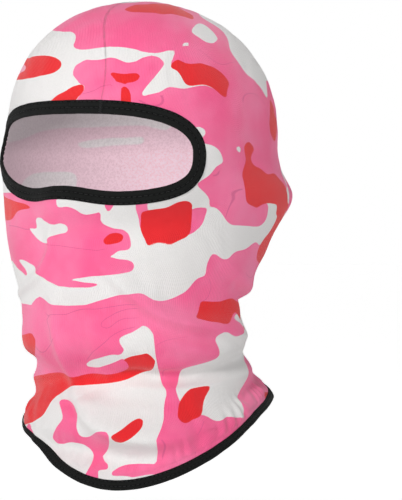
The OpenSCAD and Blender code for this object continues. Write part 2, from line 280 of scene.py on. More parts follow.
def relief(a, z, p):
    """How far the cloth stands off the head's form at each point, in mm."""
    a, z, p = a.ravel(), z.ravel(), p.reshape(-1, 3)
    h = np.zeros(len(p))
    for line, w, amp, lean in FOLD_LINES:
        lo, hi = line.min(0) - 3.2 * w, line.max(0) + 3.2 * w
        m = ((p > lo) & (p < hi)).all(1)
        if not m.any():
            continue
        d, s, away = near_line(p[m], line)
        ww = w * np.where(away[:, 2] * lean < 0, 1 - 0.55 * abs(lean), 1 + 0.5 * abs(lean))
        h[m] += 1.85 * amp * bell(d, ww) * np.clip(np.sin(np.pi * np.clip(s, 0.02, 0.98)), 0, 1) ** 0.7
    # slack cloth round the neck, in long soft waves
    neck = bell(z + 236, 42)
    q = p / np.array([34, 34, 15.0])
    h += 2.2 * neck * (noise(q + 5) - 0.5)
    q = p / np.array([70, 70, 34.0])
    h += 1.6 * (noise(q + 11) - 0.5) * (0.25 + neck)
    q = p / np.array([13, 13, 8.0])
    h += 0.5 * neck * (noise(q + 3) - 0.5)
    # puckers where the tapes draw the knit in: none under the tape itself
    d, s, away = near_line(p, EYE_LINE)
    outer = np.clip((away * (p - EYE_MID)).sum(1) / np.maximum(d * 60, 1e-6) * 3, 0, 1)
    h += outer * 0.3 * (bell(d - 4, 6) - bell(4, 6)) * np.sin(2 * np.pi * (s * 31 + 1.6 * noise(p / 24 + 2)))
    m = z < -225
    d, s, away = near_line(p[m], HEM_LINE)
    outer = (away[:, 2] > 0) * np.clip(d / 3, 0, 1)
    ang = turn(a[m])
    amp = 0.25 + 1.15 * bell(turn(ang - 100), 46) + 0.6 * bell(turn(ang + 70), 34)
    w = noise(p[m] / np.array([15, 15, 40.0]) + 9)
    h[m] += outer * amp * (bell(d - 5, 8)) * np.sin(2 * np.pi * (s * 46 + 2.4 * w)) * (0.45 + w)
    return h


def seam_relief(p):
    """The crown seam: a fine valley with the turned allowance standing up on the wearer's left."""
    d, s, _ = near_line(p, SEAM_P)
    side = np.interp(s, np.linspace(0, 1, len(SEAM_P)), SEAM_P[:, 0])
    left = (p[:, 0] > side)
    out = -0.08 * bell(d, 0.9) + np.where(left, 0.15 * bell(d - 2.6, 1.9), 0.1 * bell(d - 2.2, 1.6))
    out += 0.12 * bell(d, 4.0) * np.sin(2 * np.pi * s * 62)
    return out, d


# ---------------------------------------------------------------- meshes
def add(name, verts, faces, mats, index=None, smooth=True):
    me = bpy.data.meshes.new(name)
    v = np.asarray(verts, np.float32).reshape(-1, 3) / 1000.0
    f = np.asarray(faces, np.int32)
    me.vertices.add(len(v))
    me.vertices.foreach_set("co", v.ravel())
    me.loops.add(f.size)
    me.polygons.add(len(f))
    me.loops.foreach_set("vertex_index", f.ravel())
    me.polygons.foreach_set("loop_start", np.arange(0, f.size, f.shape[1], dtype=np.int32))
    for m in mats:
        me.materials.append(m)
    if index is not None:
        me.polygons.foreach_set("material_index", np.asarray(index, np.int32))
    me.polygons.foreach_set("use_smooth", np.full(len(f), smooth))
    me.update(calc_edges=True)
    me.validate()
    o = bpy.data.objects.new(name, me)
    bpy.context.scene.collection.objects.link(o)
    return o


def give(o, name, values):
    a = o.data.attributes.new(name, "FLOAT", "POINT")
    a.data.foreach_set("value", np.asarray(values, np.float32).ravel())


def ring_faces(rows, cols, flip=False):
    """Quads of a grid of rows, closed round each row."""
    i, j = np.meshgrid(np.arange(rows - 1), np.arange(cols), indexing="ij")
    a, b = i * cols + j, i * cols + (j + 1) % cols
    q = np.stack([a, a + cols, b + cols, b], -1).reshape(-1, 4)
    return q[:, ::-1] if flip else q


# the hood's cloth: rows run from the eye opening to the hem, columns go round
COLS = RINGS * 7
RULED = 236
col = np.arange(COLS)
te = t_at(0, TOP / RINGS + col / COLS)
th = t_at(1, 0.5 - col / COLS)
A_rows, Z_rows = [], []
for d in (0.75, 2.4, 4.7, 7.0):
    a, z = moved(0, te, d)
    A_rows.append(a); Z_rows.append(z)
for u in np.linspace(0, 1, RULED):
    a, z = place_uv(te, th, u)
    A_rows.append(a); Z_rows.append(z)
for d in (6.4, 4.3, 2.4, 0.75):
    a, z = moved(1, th, d)
    A_rows.append(a); Z_rows.append(z)
A, Z = np.array(A_rows), np.array(Z_rows)
ROWS = len(A)
P, N = face_at(A, Z), normal_at(A, Z)
flatP = P.reshape(-1, 3)
lift = relief(A, Z, P)
groove, seam_d = seam_relief(flatP)
row_i = np.repeat(np.arange(ROWS), COLS)
under_tape = np.clip(np.minimum(row_i / 4.0, (ROWS - 1 - row_i) / 4.0), 0, 1)
lift_all = (lift + groove * np.clip(under_tape * 2 - 1, 0, 1)).reshape(ROWS, COLS)
OUT = P + lift_all[..., None] * N
INN = P + (lift_all - FABRIC)[..., None] * N


def squeeze(kind, t):
    """The tape's width as a share of its cut width: the pull of the cloth narrows it at the wearer's right."""
    return 1 - 0.52 * bell(turn(t - 270), 40) if kind == 0 else 0.8 - 0.42 * bell(turn(t + 60), 32)


def surface(a, z, h):
    """Points at height h over the cloth's outer face."""
    p, n = face_at(a, z), normal_at(a, z)
    r = relief(a, z, p).reshape(a.shape)
    return p + (r + h)[..., None] * n


def fold_tape(kind, w, name, mat):
    rings = RINGS * (5 if kind == 0 else 7)
    t = t_at(kind, np.arange(rings) / rings)
    lo = -FABRIC - GAP
    hi = GAP + TAPE
    r1, r2 = w - ROWS_AT[0], w - ROWS_AT[1]
    sec = [(w, GAP), (w + 0.05, hi * 0.6), (w - 0.12, hi - 0.06), (w - 0.4, hi), (r1 + 0.4, hi - 0.06), (r1, hi - 0.3),
           (r1 - 0.4, hi - 0.04), (r1 - 1.0, hi + 0.1), ((r1 + r2) / 2, hi + 0.15), (r2 + 1.0, hi + 0.1), (r2 + 0.4, hi - 0.04), (r2, hi - 0.3),
           (r2 - 0.4, hi - 0.04), (r2 - 1.0, hi + 0.1), (1.2, hi + 0.06), (0.6, hi - 0.04), (0.2, hi - 0.3), (0.0, GAP - 0.1),
           (0.0, lo + 0.1), (0.2, lo - TAPE + 0.3), (0.6, lo - TAPE + 0.04), (1.6, lo - TAPE), (r2, lo - TAPE + 0.12),
           ((r1 + r2) / 2, lo - TAPE), (r1, lo - TAPE + 0.12), (w - 0.4, lo - TAPE), (w, lo - TAPE + 0.25), (w, lo),
           (w - 3, lo), (0.45, lo), (0.45, GAP), (w - 3, GAP)]
    sec = np.array(sec)
    c = len(sec)
    d = np.repeat(sec[None, :, 0], rings, 0)
    h = np.repeat(sec[None, :, 1], rings, 0)
    tt = np.repeat(t[:, None], c, 1)
    # the tape is a little uneven along its length
    s = np.arange(rings)[:, None] / rings
    wob = 0.12 * np.sin(2 * np.pi * (s * 23 + 0.3)) + 0.1 * np.sin(2 * np.pi * (s * 41 + 0.1)) + 0.06 * np.sin(2 * np.pi * s * 67)
    h = h + np.where(h > 0.4, wob * 0.6, 0)
    d = d + np.where(sec[None, :, 0] < 0.3, -0.25 * wob, 0)
    a, z = moved(kind, tt, d * squeeze(kind, tt))
    p = surface(a, z, h)
    i, j = np.meshgrid(np.arange(rings), np.arange(c), indexing="ij")
    k = lambda x, y: (x % rings) * c + y % c
    f = np.stack([k(i, j), k(i + 1, j), k(i + 1, j + 1), k(i, j + 1)], -1).reshape(-1, 4)
    o = add(name, p, f, [mat])
    give(o, "along", (np.repeat(s, c, 1) * WAY[kind][2]).ravel())
    give(o, "across", d.ravel())
    give(o, "from_rim", np.where(np.repeat(sec[None, :, 1], rings, 0) > 0.3, w - d, 20).ravel())
    return o


def stitches(kind, n, w, name, mat, inside=False):
    """Thread as short rounded lengths that dip into the tape at both ends."""
    r = 0.22
    sides, steps = 6, 7
    V, F = [], []
    ang = np.arange(sides) * 2 * math.pi / sides
    u = np.linspace(0, 1, steps)
    for row in ((0,) if inside else (0, 1)):
        k = np.arange(n)
        if inside:
            d0 = np.where(k % 2 == 0, w - ROWS_AT[0], w - ROWS_AT[1])
            d1 = np.where(k % 2 == 0, w - ROWS_AT[1], w - ROWS_AT[0])
            s0, s1 = k / n, (k + 0.86) / n
        else:
            d0 = d1 = np.full(n, w - ROWS_AT[row])
            s0, s1 = (k + 0.5 * row) / n, (k + 0.5 * row + 0.86) / n
        ss = s0[:, None] + (s1 - s0)[:, None] * u[None]
        dd = d0[:, None] + (d1 - d0)[:, None] * u[None]
        arch = np.sqrt(np.clip(1 - (2 * u - 1) ** 6, 0, 1))[None]
        base = (GAP + TAPE - 0.3) if not inside else (-FABRIC - GAP - TAPE)
        hh = (base - 0.2 + 0.3 * arch) if not inside else (base + 0.16 - 0.34 * arch)
        hh = np.repeat(hh, n, 0)
        rr = r * (0.45 + 0.55 * arch)
        tt = t_at(kind, ss)
        a, z = moved(kind, tt, dd * squeeze(kind, tt))
        c = surface(a, z, hh)
        nrm = normal_at(a, z)
        tan = np.gradient(c, axis=1)
        tan /= np.linalg.norm(tan, axis=-1, keepdims=True)
        b = np.cross(tan, nrm)
        b /= np.linalg.norm(b, axis=-1, keepdims=True)
        nn = np.cross(b, tan)
        pts = c[:, :, None] + rr[..., None, None] * (np.cos(ang)[None, None, :, None] * b[:, :, None] + np.sin(ang)[None, None, :, None] * nn[:, :, None])
        off = sum(len(v) for v in V)
        V.append(pts.reshape(-1, 3))
        ii, st, sd = np.meshgrid(np.arange(n), np.arange(steps - 1), np.arange(sides), indexing="ij")
        k0 = lambda x, y, q: off + (x * steps + y) * sides + q % sides
        F.append(np.stack([k0(ii, st, sd), k0(ii, st, sd + 1), k0(ii, st + 1, sd + 1), k0(ii, st + 1, sd)], -1).reshape(-1, 4))
        # caps, as two quads each
        for step in (0, steps - 1):
            ids = off + (np.arange(n)[:, None] * steps + step) * sides + np.arange(sides)[None]
            q1, q2 = ids[:, [0, 1, 2, 3]], ids[:, [0, 3, 4, 5]]
            if step == 0:
                q1, q2 = q1[:, ::-1], q2[:, ::-1]
            F += [q1, q2]
    return add(name, np.concatenate(V), np.concatenate(F), [mat])


# ---------------------------------------------------------------- the camo print
# Shapes are laid out on a plane in front of the hood: (across, height) in mm, as seen from the wearer's front left
VIEW_A = 34.0
EYE_FAR = 1000.0
EYE_Z0 = -168.8
va = math.radians(VIEW_A)
TO_EYE = np.array([math.sin(va), -math.cos(va), 0])
ACROSS = np.array([math.cos(va), math.sin(va), 0])


def flat_view(p):
    k = EYE_FAR / (EYE_FAR - p @ TO_EYE)
    return np.stack([(p @ ACROSS) * k, EYE_Z0 + (p[..., 2] - EYE_Z0) * k], -1)


PINK = [
    # crown
    [(-78, -22), (-64.5, -18.5), (-61, -18), (-55.5, -18.5), (-50.5, -18.5), (-48, -19), (-46, -20.5), (-45.5, -22.5), (-46, -25.5),
     (-47, -27.5), (-46.5, -29.5), (-44.5, -30.5), (-41, -31), (-36, -30.5), (-30.5, -29.5), (-25.5, -29), (-20, -29), (-15, -29), (-9.5,
     -29.5), (-4, -30.5), (0.5, -32), (9, -33), (20, -30.5), (32, -25), (44, -19), (47, -10), (34, 1), (20, 4), (5.5, 3), (-5.5, 2), (-12, 1.5),
     (-19, 1.5), (-38, 6)],
    # brow
    [(-47.5, -47), (-47, -45), (-45.5, -42), (-42.5, -40), (-38.5, -38), (-33.5, -38), (-28, -37.5), (-23.5, -36.5), (-20, -36.5),
     (-17.5, -37), (-14, -38.5), (-11, -39.5), (-8, -39.5), (-4, -38.5), (1, -36), (7.5, -35), (13, -37), (14, -44), (11, -51), (5,
     -57.5), (1, -63.5), (-0.5, -72), (-46, -72), (-45, -65.5), (-40, -58.5), (-40, -55.5), (-42.5, -54.5), (-45, -51.5), (-47, -49)],
    # cheeks
    [(-96, -129.5), (-59, -131.5), (-59, -134.5), (-58.5, -138), (-56.5, -139.5), (-52, -139), (-48, -140), (-45, -141.5), (-42, -143.5),
     (-38.5, -144.5), (-34.5, -144), (-32, -143.5), (-29.5, -143), (-28.5, -145), (-28.5, -148), (-27, -150.5), (-24.5, -152), (-22,
     -153), (-19, -154), (-13, -155), (-9, -158.5), (-7.5, -164.5), (-9.5, -168.5), (-16, -169.5), (-19, -171.5), (-20.5, -172.5),
     (-21.5, -173.5), (-19.5, -174), (-16, -175), (-9, -176), (-5.5, -179), (-7, -183), (-14, -184.5), (-22, -185.5), (-28.5, -186.5),
     (-35.5, -187), (-42, -188), (-46, -188.5), (-48, -189.5), (-45, -190), (-40, -191), (-34.5, -191.5), (-31.5, -192), (-30.5, -192.5),
     (-32, -193.5), (-36.5, -194.5), (-42, -194.5), (-48.5, -194.5), (-53, -194), (-57, -193.5), (-61, -191.5), (-64.5, -190), (-67,
     -188), (-69.5, -185.5), (-72, -183), (-74, -180), (-77, -178), (-79.5, -176.5), (-82, -175.5), (-84, -175.5), (-84, -176.5), (-83,
     -178), (-81.5, -180), (-80, -182), (-79, -184.5), (-79, -186), (-80, -186), (-82, -184), (-85, -181.5), (-87, -179), (-88, -178),
     (-89.5, -176), (-94, -173), (-102, -167), (-103.5, -134)],
    # drop
    [(-25.5, -137.5), (-20, -137.5), (-20.5, -139.5), (-22, -141.5), (-23.5, -142), (-24.5, -141)],
    # chin
    [(-87, -205), (-82, -205.5), (-79, -206), (-76, -206.5), (-75, -205), (-73, -202.5), (-71.5, -201.5), (-70, -201), (-67, -202.5),
     (-63, -205), (-58.5, -206), (-52, -207), (-45, -207), (-38.5, -206.5), (-32, -204.5), (-25.5, -202.5), (-19, -200.5), (-11, -198.5),
     (-3.5, -197.5), (3.5, -199.5), (7.5, -204.5), (6.5, -212), (1, -220), (-6, -225), (-9.5, -226.5), (-13, -228), (-15, -229.5),
     (-15.5, -231), (-15, -233), (-13.5, -235.5), (-12.5, -237.5), (-14, -240), (-16.5, -241), (-20, -241), (-24.5, -242), (-30.5, -244),
     (-35, -246), (-38, -248), (-39, -249), (-37.5, -250.5), (-34.5, -251), (-30.5, -250.5), (-26, -249), (-21.5, -247.5), (-17, -245.5),
     (-13.5, -244), (-10, -246), (-7.5, -250.5), (-8, -254), (-12, -256.5), (-27, -257), (-42, -257), (-60.5, -257), (-75.5, -261), (-83,
     -259.5), (-84.5, -246), (-86, -235.5)],
    # sliver by the hem
    [(-78.5, -288.5), (-77, -288.5), (-76.5, -292), (-75, -296), (-73, -300.5), (-74.5, -301), (-76.5, -296), (-79, -290.5)],
    # branching shape above the hem
    [(-57, -274), (-56, -272), (-54, -271), (-51.5, -271.5), (-49, -273.5), (-46.5, -277.5), (-45, -282), (-44.5, -286.5), (-45, -290.5),
     (-44.5, -294.5), (-43.5, -296.5), (-41, -297.5), (-37.5, -297.5), (-32, -296), (-27.5, -294.5), (-24, -294), (-21, -294.5), (-19.5,
     -296.5), (-19.5, -298), (-21, -301), (-24, -304.5), (-27.5, -308), (-30.5, -310.5), (-30.5, -312), (-28.5, -314.5), (-26, -316.5),
     (-25, -319), (-26, -320), (-30, -320.5), (-31, -321.5), (-30.5, -324.5), (-30, -328), (-29.5, -337), (-42.5, -337), (-41, -329),
     (-40, -325.5), (-38, -320.5), (-37, -315.5), (-37.5, -311), (-39, -307), (-41, -304.5), (-44, -302.5), (-48.5, -301.5), (-53, -301),
     (-58.5, -302), (-62.5, -301.5), (-64, -299.5), (-64, -297.5), (-62, -294.5), (-58.5, -290), (-55.5, -286.5), (-54.5, -283.5),
     (-55.5, -279.5), (-56.5, -276.5)],
    # by the hem
    [(-21.5, -322), (-20, -320.5), (-17, -318.5), (-12, -317), (-4.5, -316.5), (4, -316.5), (11, -317), (16.5, -319), (18, -321.5), (14,
     -323.5), (9, -323.5), (3, -324), (-6, -325.5), (-9.5, -325), (-14, -324.5), (-18.5, -324.5), (-21, -324)],
]
WHITE_IN_PINK = [
    # star
    [(-77, -154), (-73, -154), (-72.5, -152), (-73, -149), (-72.5, -147), (-71, -146.5), (-69, -147), (-66.5, -149), (-63, -150.5),
     (-59.5, -151), (-56.5, -150.5), (-54, -151), (-52, -152), (-51, -154), (-51.5, -156), (-53, -157), (-55.5, -157.5), (-59.5, -158.5),
     (-62.5, -159.5), (-64, -161.5), (-63.5, -163.5), (-64.5, -164), (-67, -164), (-69.5, -163), (-72, -161), (-74.5, -158), (-76, -156)],
]
RED = [
    # crown
    [(-12, -3), (-10, -1.5), (-5.5, 0), (-0.5, 0.5), (5.5, 1), (14, 1), (22, 0), (32, -5), (42, -12), (43, -14), (38, -12), (30, -8), (21, -6), (13, -6), (5.5, -5), (-0.5, -5), (-5.5,
     -5), (-9.5, -4)],
    # brow, wearer's right
    [(-86, -40), (-82, -38), (-78, -37), (-73, -35.5), (-68.5, -35), (-63.5, -35.5), (-59.5, -36.5), (-56.5, -38.5), (-55.5, -40.5),
     (-56, -43), (-58, -45), (-61.5, -47), (-66.5, -48.5), (-71.5, -49.5), (-78, -51), (-85.5, -52), (-90, -52.5)],
    # wedge over the eye opening
    [(-66.5, -68.5), (-62, -65.5), (-58.5, -62.5), (-53, -59.5), (-48, -56.5), (-43, -55), (-41, -55), (-40, -56), (-40, -58.5), (-42,
     -61.5), (-44, -63.5), (-46, -66.5), (-49, -71.5), (-66.5, -71.5)],
    # brow, middle
    [(-21.5, -47), (-20, -46.5), (-17, -47), (-12, -47.5), (-7.5, -47), (-3.5, -47), (-1.5, -49), (-3, -51.5), (-6, -53), (-9, -53.5),
     (-12, -54), (-15.5, -53.5), (-18, -52.5), (-18.5, -51), (-20, -50), (-21.5, -48)],
    # over the eye opening
    [(-14.5, -59), (-14, -57), (-13, -56), (-11, -56.5), (-9, -58.5), (-7.5, -62.5), (-6.5, -69), (-14, -69), (-14.5, -64.5)],
    # under the eye opening
    [(-96, -130), (-94, -132.5), (-89.5, -134.5), (-85, -136), (-81, -137), (-78, -138.5), (-77, -140), (-79, -140.5), (-82, -141), (-85,
     -142), (-87, -144), (-88.5, -146.5), (-90, -148), (-92.5, -148.5), (-95.5, -148), (-98, -144), (-98.5, -135.5)],
    # cheek
    [(-18, -157), (-21.5, -157.5), (-24, -159), (-25.5, -160.5), (-26.5, -162), (-26, -164), (-24.5, -165), (-22.5, -165), (-19.5,
     -164.5), (-17, -164), (-14, -162.5), (-13, -159.5), (-15, -157.5)],
    # jaw
    [(-86, -229), (-79, -226.5), (-77.5, -226), (-75.5, -226.5), (-74.5, -228.5), (-73.5, -231), (-73.5, -235.5), (-74, -240), (-75,
     -243), (-77, -244), (-80, -240), (-84.5, -231)],
    # across the neck
    [(-72, -255.5), (-68, -254), (-62, -253), (-56, -253), (-50, -253.5), (-45.5, -254), (-41, -254.5), (-34.5, -255), (-27, -255),
     (-19.5, -255), (-14, -254), (-11, -252.5), (-9.5, -250.5), (-9.5, -248.5), (-11, -246), (-12.5, -244.5), (-8, -242.5), (-2, -241),
     (7, -238.5), (12.5, -239), (15.5, -243.5), (14, -249), (9, -252.5), (3, -254.5), (-4.5, -256.5), (-12, -258.5), (-19.5, -260), (-27,
     -261), (-34.5, -261.5), (-39.5, -262), (-45.5, -263), (-50, -264.5), (-54.5, -267), (-59, -270), (-62, -273), (-64, -276), (-66,
     -279), (-68, -282), (-72, -285), (-75.5, -287), (-78, -288), (-83, -289), (-89, -283.5), (-87, -268.5), (-83, -259.5), (-77, -257)],
    # bib
    [(-18, -298), (-17, -296.5), (-14, -294.5), (-11, -292), (-8, -289), (-5, -286.5), (-1.5, -285), (1, -286.5), (1, -290.5), (-1.5,
     -294.5), (-5, -298), (-8, -300), (-12, -301.5), (-15.5, -301), (-17.5, -299.5)],
]
PALE = [
    # in the brow's red
    [(-82.5, -39.5), (-81, -41), (-80, -43), (-80.5, -45), (-83, -47), (-85, -48), (-85.5, -40)],
]
# fine lines printed in the pink
LINES = [
    [(-90.5, -152), (-85, -153), (-80, -154.5), (-77, -154.5)],
    [(-63.5, -165), (-55.5, -166), (-49, -167), (-42, -168), (-36.5, -168.5), (-30.5, -169), (-25.5, -168)],
    [(-64, -214), (-61, -213), (-55.5, -213), (-52, -213), (-48, -211.5), (-43, -210), (-38.5, -209.5), (-32, -209.5), (-25.5, -208.5),
     (-19, -207.5), (-12, -206.5), (-5.5, -206)],
    [(-65, -213), (-63, -214.5), (-64.5, -216), (-64.5, -218), (-63, -221), (-61.5, -224.5), (-61, -231)],
    [(-4, -208.5), (-6.5, -209), (-12, -210), (-17.5, -212), (-22, -214.5), (-26, -217), (-28, -219.5), (-27.5, -221.5), (-24.5, -222.5),
     (-22, -222), (-19.5, -220), (-16, -217.5), (-11.5, -216), (-4, -215.5)],
    [(-5.5, -222), (-12, -223.5), (-17.5, -226), (-21.5, -228.5), (-24, -231), (-30.5, -236.5), (-34.5, -240), (-36.5, -243), (-38.5,
     -246)],
    [(-72.5, -236), (-71.5, -237.5), (-69, -239), (-66.5, -238.5), (-64.5, -236), (-61.5, -232.5), (-59, -229.5)],
    [(-40, -61), (-36, -60), (-32, -58.5), (-28.5, -56.5), (-25.5, -55.5), (-21.5, -55)],
]
# the inside's grey patches, where the white of the print shows through
INSIDE_GREY = [
    # top
    [(-96.5, -98), (-94.5, -95.5), (-83, -92.5), (-70.5, -87.5), (-55, -85), (-39.5, -84.5), (-18, -83.5), (0.5, -83), (19, -85), (19,
     -64.5), (-96.5, -64.5)],
    # streak
    [(-44.5, -95.5), (-37.5, -93.5), (-30, -92.5), (-20.5, -91.5), (-11.5, -91.5), (0, -91), (0, -95.5), (-13, -96.5), (-21.5, -97),
     (-30, -98), (-37.5, -98.5), (-42.5, -98)],
    # bottom
    [(-83, -123), (-77.5, -117.5), (-70.5, -115.5), (-61, -115), (-51, -115), (-47, -116.5), (-45.5, -119.5), (-46, -125), (-47.5,
     -132.5), (-83, -132.5)],
]


def signed(q, poly):
    """Distance from each point to a closed outline, positive inside."""
    best = np.full(len(q), 1e9)
    inside = np.zeros(len(q), bool)
    x, y = q[:, 0], q[:, 1]
    for i in range(len(poly)):
        (x0, y0), (x1, y1) = poly[i - 1], poly[i]
        dx, dy = x1 - x0, y1 - y0
        t = np.clip(((x - x0) * dx + (y - y0) * dy) / max(dx * dx + dy * dy, 1e-9), 0, 1)
        best = np.minimum(best, (x - x0 - t * dx) ** 2 + (y - y0 - t * dy) ** 2)
        inside ^= ((y0 > y) != (y1 > y)) & (x < x0 + (y - y0) * dx / (dy if dy else 1e-9))
    r = np.sqrt(best)
    return np.where(inside, r, -r)


def union(q, shapes):
    out = np.full(len(q), -40.0)
    for s in shapes:
        poly = curve(s, 5, closed=True)
        lo, hi = poly.min(0) - 14, poly.max(0) + 14
        m = ((q > lo) & (q < hi)).all(1)
        if m.any():
            out[m] = np.maximum(out[m], signed(q[m], poly))
    return out


def camo_elsewhere(p):
    """The print where no shape is listed: the same kind of long blobs, from noise in space."""
    warp = np.stack([noise(p / 21 + k) for k in (1, 8, 15)], -1) - 0.5
    q = p + warp * np.array([26, 26, 16])
    n1 = 0.74 * noise(q / np.array([44, 44, 25]) + 20.3) + 0.26 * noise(q / np.array([19, 19, 12]) + 4.7)
    n2 = 0.8 * noise(q / np.array([40, 40, 21]) + 41.9) + 0.2 * noise(q / np.array([17, 17, 11]) + 13.1)
    return (n1 - 0.485) * 62, (n2 - 0.655) * 62


def camo(p):
    q = flat_view(p)
    near = (p @ TO_EYE) > -25
    pink, red = camo_elsewhere(p)
    # where the laid-out shapes hold: left of a line that leans with the height, on the side that faces the layout's plane
    border = np.interp(q[:, 1], [-345, -330, -300, -270, -240, -200, -160, -120, -90, -60, -40, 0], [10, 6, -6, 4, -2, -8, -14, -20, -22, -12, 6, 36])
    w = np.clip((border + 17 - q[:, 0]) / 12, 0, 1) * np.clip((p @ TO_EYE + 6) / 16, 0, 1)
    m = (w > 0) & near
    hp, hr = np.full(len(p), -40.0), np.full(len(p), -40.0)
    hp[m] = np.minimum(union(q[m], PINK), -union(q[m], WHITE_IN_PINK))
    hr[m] = union(q[m], RED)
    hp, hr = np.clip(hp, -9, 9), np.clip(hr, -9, 9)
    pink, red = np.clip(pink, -9, 9), np.clip(red, -9, 9)
    pink, red = w * hp + (1 - w) * pink, w * hr + (1 - w) * red
    side, true = np.full(len(p), 9.0), np.full(len(p), 9.0)
    q3 = np.concatenate([q, np.zeros((len(q), 1))], 1)
    for l in LINES:
        c = curve(l, 6)
        c3 = np.concatenate([c, np.zeros((len(c), 1))], 1)
        lo, hi = c3.min(0)[:2] - 5, c3.max(0)[:2] + 5
        k = np.flatnonzero(((q > lo) & (q < hi)).all(1) & (w > 0.5))
        if len(k):
            d, sh, away = near_line(q3[k], c3)
            i = np.clip((sh * (len(c) - 1)).astype(int), 0, len(c) - 2)
            way = c[i + 1] - c[i]
            sgn = np.sign(way[:, 0] * away[:, 1] - way[:, 1] * away[:, 0])
            n = d < true[k]
            true[k[n]], side[k[n]] = d[n], (d * sgn)[n]
    # fine lines elsewhere follow the noise's level curves inside the pink
    far = w < 0.5
    lev = noise(p[far] / np.array([30, 30, 20]) + 27.7)
    side[far] = (lev - 0.55) * 60
    true[far] = np.where((pink[far] > 2.0) & (noise(p[far] / 25 + 3.3) > 0.42), 0, 9)
    pale = np.where(w > 0.5, union(q, PALE), -9.0)
    return pink, red, side, true, np.clip(pale, -9, 9)


# ---------------------------------------------------------------- materials
def material(name):
    m = bpy.data.materials.new(name)
    m.use_nodes = True
    nt = m.node_tree
    nt.nodes.clear()
    out = nt.nodes.new("ShaderNodeOutputMaterial")
    bsdf = nt.nodes.new("ShaderNodeBsdfPrincipled")
    nt.links.new(bsdf.outputs[0], out.inputs[0])
    return m, nt, bsdf


def node(nt, kind, **props):
    n = nt.nodes.new(kind)
    for k, v in props.items():
        setattr(n, k, v)
    return n


def math_node(nt, op, a, b=None, clamp=False):
    n = node(nt, "ShaderNodeMath", operation=op, use_clamp=clamp)
    for i, v in enumerate((a, b)):
        if v is None:
            continue
        if isinstance(v, (int, float)):
            n.inputs[i].default_value = v
        else:
            nt.links.new(v, n.inputs[i])
    return n.outputs[0]


def mix(nt, fac, a, b, blend="MIX"):
    n = node(nt, "ShaderNodeMix", data_type="RGBA", blend_type=blend)
    if isinstance(fac, (int, float)):
        n.inputs[0].default_value = fac
    else:
        nt.links.new(fac, n.inputs[0])
    for i, v in ((6, a), (7, b)):
        if isinstance(v, tuple):
            n.inputs[i].default_value = (*v, 1)
        else:
            nt.links.new(v, n.inputs[i])
    return n.outputs[2]


def step(nt, value, at, soft):
    n = node(nt, "ShaderNodeMapRange", interpolation_type="SMOOTHSTEP")
    n.inputs[1].default_value = at - soft
    n.inputs[2].default_value = at + soft
    nt.links.new(value, n.inputs[0])
    return n.outputs[0]


def attr(nt, name):
    n = node(nt, "ShaderNodeAttribute", attribute_name=name)
    return n.outputs["Fac"]


def noise_node(nt, scale, detail=2.0, rough=0.5, stretch=None):
    tc = node(nt, "ShaderNodeTexCoord")
    n = node(nt, "ShaderNodeTexNoise")
    n.inputs["Scale"].default_value = scale
    n.inputs["Detail"].default_value = detail
    n.inputs["Roughness"].default_value = rough
    if stretch:
        mp = node(nt, "ShaderNodeMapping")
        mp.inputs["Scale"].default_value = stretch
        nt.links.new(tc.outputs["Object"], mp.inputs[0])
        nt.links.new(mp.outputs[0], n.inputs["Vector"])
    else:
        nt.links.new(tc.outputs["Object"], n.inputs["Vector"])
    return n.outputs["Fac"]


def knit_height(nt, pitch):
    """A fine knit: ribs that run down the cloth, broken into loops."""
    x = attr(nt, "wale")
    y = attr(nt, "course")
    k = 2 * math.pi / pitch
    rib = math_node(nt, "SINE", math_node(nt, "MULTIPLY", x, k))
    loop = math_node(nt, "SINE", math_node(nt, "MULTIPLY", y, k * 1.25))
    return math_node(nt, "ADD", rib, math_node(nt, "MULTIPLY", loop, 0.6))


def bump(nt, bsdf, height, distance, strength=1.0, normal=None):
    b = node(nt, "ShaderNodeBump")
    b.inputs["Strength"].default_value = strength
    b.inputs["Distance"].default_value = distance
    nt.links.new(height, b.inputs["Height"])
    if normal is not None:
        nt.links.new(normal, b.inputs["Normal"])
    if bsdf is not None:
        nt.links.new(b.outputs[0], bsdf.inputs["Normal"])
    return b.outputs[0]


WHITE, HOT, RED_C = (0.84, 0.82, 0.81), (0.93, 0.135, 0.33), (0.80, 0.022, 0.03)


def printed(nt):
    """The print's colour, crisp where the blobs' level passes 0."""
    fine = noise_node(nt, 900, 2, 0.6)
    wob = math_node(nt, "MULTIPLY", math_node(nt, "SUBTRACT", fine, 0.5), 0.35)
    pink = step(nt, math_node(nt, "ADD", attr(nt, "pink"), wob), 0, 0.16)
    red = step(nt, math_node(nt, "ADD", attr(nt, "red"), wob), 0, 0.16)
    cloud = noise_node(nt, 22, 3, 0.55)
    hot = mix(nt, step(nt, cloud, 0.5, 0.2), (0.98, 0.115, 0.30), (0.99, 0.215, 0.41))
    line = math_node(nt, "SUBTRACT", 1.0, step(nt, math_node(nt, "ABSOLUTE", attr(nt, "line_side")), 0.28, 0.16))
    ends = math_node(nt, "SUBTRACT", 1.0, step(nt, attr(nt, "line_true"), 1.9, 0.5))
    line = math_node(nt, "MULTIPLY", math_node(nt, "MULTIPLY", line, ends), 0.42)
    hot = mix(nt, line, hot, (0.58, 0.05, 0.19))
    red_c = mix(nt, cloud, (0.80, 0.011, 0.017), (0.88, 0.026, 0.032))
    col = mix(nt, pink, WHITE, hot)
    col = mix(nt, red, col, red_c)
    pale = step(nt, attr(nt, "pale"), 0, 0.3)
    return mix(nt, pale, col, (0.93, 0.42, 0.55)), pink, red


